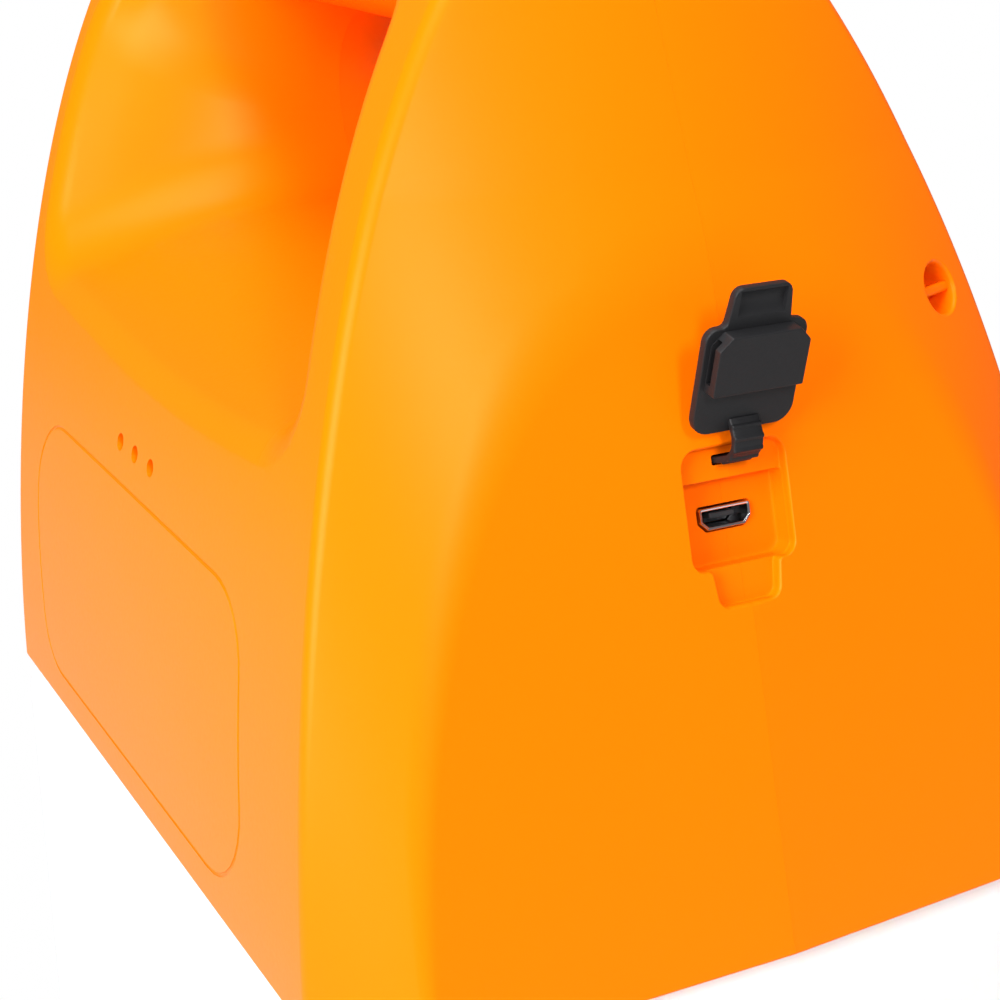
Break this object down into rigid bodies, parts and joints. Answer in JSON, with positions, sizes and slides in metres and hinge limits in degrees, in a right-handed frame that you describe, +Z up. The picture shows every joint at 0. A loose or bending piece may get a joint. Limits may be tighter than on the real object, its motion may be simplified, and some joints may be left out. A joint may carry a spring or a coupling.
{
  "type": "hand lamp",
  "caption": "Rechargeable hand lamp: orange two-half shell with built-in carrying handle, white light box below, front spotlight, charging port under a rubber cover.",
  "frame": {"origin": "centre of the lamp's footprint box, on the surface its four feet stand on", "axes": "+Z up, -Y towards the front and the spotlight, +Y towards the back and the charging port, +X towards the lamp's own left"},
  "size_m": [0.1206, 0.167, 0.2163],
  "materials": {
    "shell_plastic": "satin orange moulded plastic",
    "frosted_plastic": "soft-gloss frosted white moulded plastic",
    "black_rubber": "matt black rubber",
    "dark_plastic": "dark grey moulded plastic",
    "steel": "bright zinc-plated steel",
    "aluminium": "plain aluminium",
    "circuit_board": "green solder mask",
    "white_board": "white solder mask or white nylon",
    "cell_wrap": "blue shrink wrap",
    "nickel": "nickel strip",
    "clear_plastic": "clear polycarbonate",
    "red_plastic": "dark red light guide",
    "mirror": "vacuum-plated mirror",
    "red_insulation": "red wire insulation",
    "black_insulation": "black wire insulation"
  },
  "bodies": {
    "lamp": {"shell_left": "shell_plastic", "shell_right": "shell_plastic", "diffuser": "frosted_plastic", "diffuser_gasket": "black_rubber", "foot_1": "black_rubber", "foot_2": "black_rubber", "foot_3": "black_rubber", "foot_4": "black_rubber", "chassis_plate": "aluminium", "chassis_screw_1": "steel", "chassis_screw_2": "steel", "chassis_screw_3": "steel", "chassis_screw_4": "steel", "area_light_board": "white_board", "battery_tray": "dark_plastic", "battery_cell_1": "cell_wrap", "battery_cell_2": "cell_wrap", "battery_cell_3": "cell_wrap", "battery_cell_4": "cell_wrap", "cell_link_front": "nickel", "cell_link_back": "nickel", "battery_cover": "dark_plastic", "main_board": "circuit_board", "driver_coil": "dark_plastic", "capacitor_1": "aluminium", "capacitor_2": "aluminium", "wire_connector": "white_board", "indicator_board": "circuit_board", "indicator_window_1": "red_plastic", "indicator_window_2": "red_plastic", "indicator_window_3": "red_plastic", "usb_shell": "steel", "usb_insulator": "dark_plastic", "port_board": "circuit_board", "cover_strap_anchor": "black_rubber", "spotlight_bezel": "dark_plastic", "spotlight_lens": "clear_plastic", "spotlight_gasket": "black_rubber", "spotlight_reflector": "mirror", "spotlight_led_board": "white_board", "spotlight_heat_sink": "aluminium", "spotlight_lock_ring": "dark_plastic", "switch_body": "dark_plastic", "switch_board": "circuit_board", "shell_screw_back_upper": "steel", "shell_screw_back_lower": "steel", "shell_screw_front_lower": "steel", "shell_screw_front_upper": "steel", "shell_screw_handle_back": "steel", "shell_screw_handle_middle": "steel", "battery_lead_red": "red_insulation", "battery_lead_black": "black_insulation", "spotlight_lead": "red_insulation", "switch_lead": "black_insulation", "port_lead": "black_insulation"},
    "cover": {"port_cover": "black_rubber"},
    "button": {"power_button": "black_rubber", "switch_plunger": "white_board"}
  },
  "joints": [
    {"name": "port_cover_hinge", "type": "hinge", "parent": "lamp", "child": "cover", "pos_m": [0, 0.06514, 0.14344], "axis": [1, 0, 0], "range_deg": [-152.7, 12], "stiffness_Nm_per_rad": 0.02},
    {"name": "power_button_press", "type": "slide", "parent": "lamp", "child": "button", "axis": [0, 0, -1], "range_m": [0, 0.0008], "stiffness_N_per_m": 900}
  ]
}
